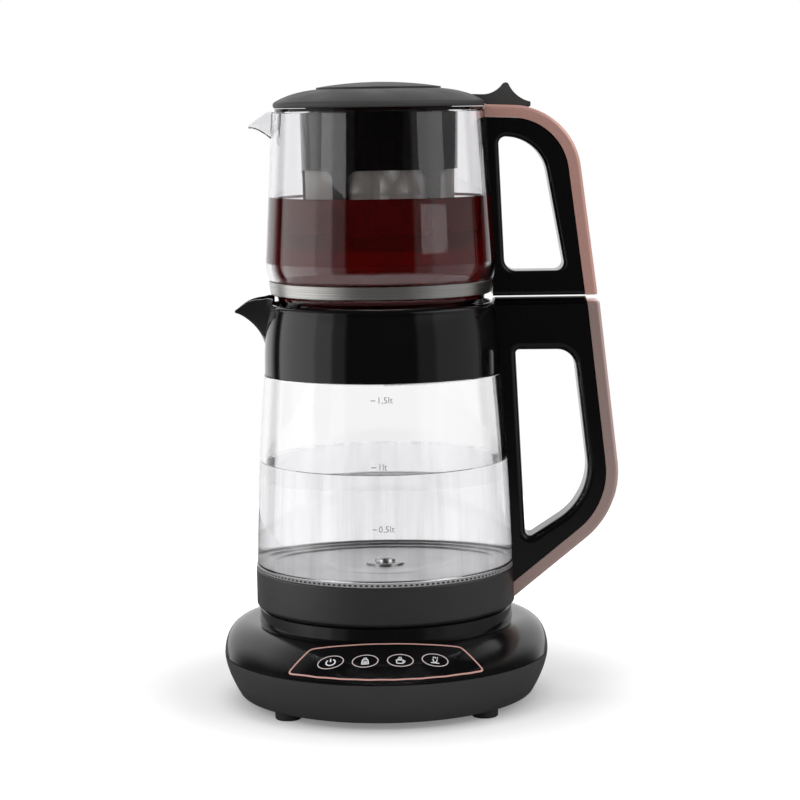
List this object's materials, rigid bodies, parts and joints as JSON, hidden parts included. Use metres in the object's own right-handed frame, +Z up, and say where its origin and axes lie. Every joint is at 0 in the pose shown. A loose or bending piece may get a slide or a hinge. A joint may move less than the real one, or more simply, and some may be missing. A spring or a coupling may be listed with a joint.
{
  "type": "electric tea maker",
  "caption": "Electric tea maker: glass teapot with infuser and hinged lid on a glass kettle, both lifting off a heated base with touch keys.",
  "frame": {"origin": "on the table under the axis that kettle and teapot share", "axes": "+Z up, -Y towards the user and the control panel, +X towards the handles, -X towards the spouts"},
  "size_m": [0.2277, 0.192, 0.3512],
  "materials": {
    "base_cover_black": "gloss black, moulded",
    "base_shell_black": "satin black, moulded",
    "panel_black": "polished black touch panel with printed key rings",
    "foot_rubber": "matt rubber",
    "circuit_board": "board with components",
    "sensor_film": "copper film on carrier",
    "led_white": "diffused white",
    "buzzer_black": "matt",
    "screw_steel": "zinc plated",
    "gland_rubber": "matt rubber",
    "coupler_black": "fine texture",
    "contact_brass": "plain",
    "skirt_black": "satin black, moulded",
    "bottom_black": "matt black, moulded",
    "seal_clear": "translucent silicone",
    "plate_steel": "turned steel",
    "element_alloy": "as cast",
    "probe_steel": "polished",
    "thermostat_black": "matt",
    "kettle_glass": "clear glass with printed level marks",
    "collar_black": "gloss black, moulded",
    "gasket_silicone": "silicone",
    "handle_black": "gloss black, moulded",
    "kettle_trim_rose": "satin rose metallic",
    "cap_black": "gloss black",
    "teapot_glass": "clear glass",
    "band_steel": "fine brushed",
    "teapot_trim_rose": "satin rose metallic, darker",
    "pin_steel": "plain",
    "infuser_black": "gloss black, moulded",
    "mesh_steel": "woven mesh",
    "lid_grey": "fine matt",
    "disc_black": "gloss",
    "liner_black": "matt",
    "water_clear": "clear water",
    "tea_red": "dark red tea",
    "print_rose": "printed line, rose metallic",
    "print_white": "printed signs",
    "print_grey": "printed level marks"
  },
  "bodies": {
    "base": {"base_lower_shell": "base_shell_black", "base_top_cover": "base_cover_black", "control_panel": "panel_black", "foot_front_left": "foot_rubber", "foot_front_right": "foot_rubber", "foot_rear_left": "foot_rubber", "foot_rear_right": "foot_rubber", "control_board": "circuit_board", "touch_sensors": "sensor_film", "status_leds": "led_white", "speaker": "buzzer_black", "base_screws": "screw_steel", "cord_gland": "gland_rubber", "power_coupler": "coupler_black", "coupler_contacts": "contact_brass"},
    "kettle": {"kettle_skirt": "skirt_black", "kettle_bottom_cover": "bottom_black", "glass_seal": "seal_clear", "heater_plate": "plate_steel", "heating_element": "element_alloy", "sensor_probe": "probe_steel", "thermostat_block": "thermostat_black", "coupler_socket": "coupler_black", "socket_contacts": "contact_brass", "kettle_screws": "screw_steel", "kettle_glass": "kettle_glass", "collar_gasket": "gasket_silicone", "kettle_collar": "collar_black", "kettle_handle": "handle_black", "kettle_handle_trim": "kettle_trim_rose", "kettle_handle_cap": "cap_black"},
    "teapot": {"teapot_glass": "teapot_glass", "teapot_band": "band_steel", "teapot_handle": "handle_black", "teapot_handle_trim": "teapot_trim_rose", "hinge_pin": "pin_steel", "infuser_frame": "infuser_black", "infuser_mesh": "mesh_steel"},
    "teapot_lid": {"lid_cover": "lid_grey", "lid_disc": "disc_black", "lid_liner": "liner_black", "lid_gasket": "gasket_silicone"}
  },
  "joints": [
    {"name": "kettle_lift", "type": "slide", "parent": "base", "child": "kettle", "axis": [0, 0, 1], "range_m": [0, 0.08]},
    {"name": "teapot_lift", "type": "slide", "parent": "kettle", "child": "teapot", "axis": [0, 0, 1], "range_m": [0, 0.06]},
    {"name": "lid_hinge", "type": "hinge", "parent": "teapot", "child": "teapot_lid", "pos_m": [0.08, 0, 0.334], "axis": [0, 1, 0], "range_deg": [0, 85]}
  ]
}
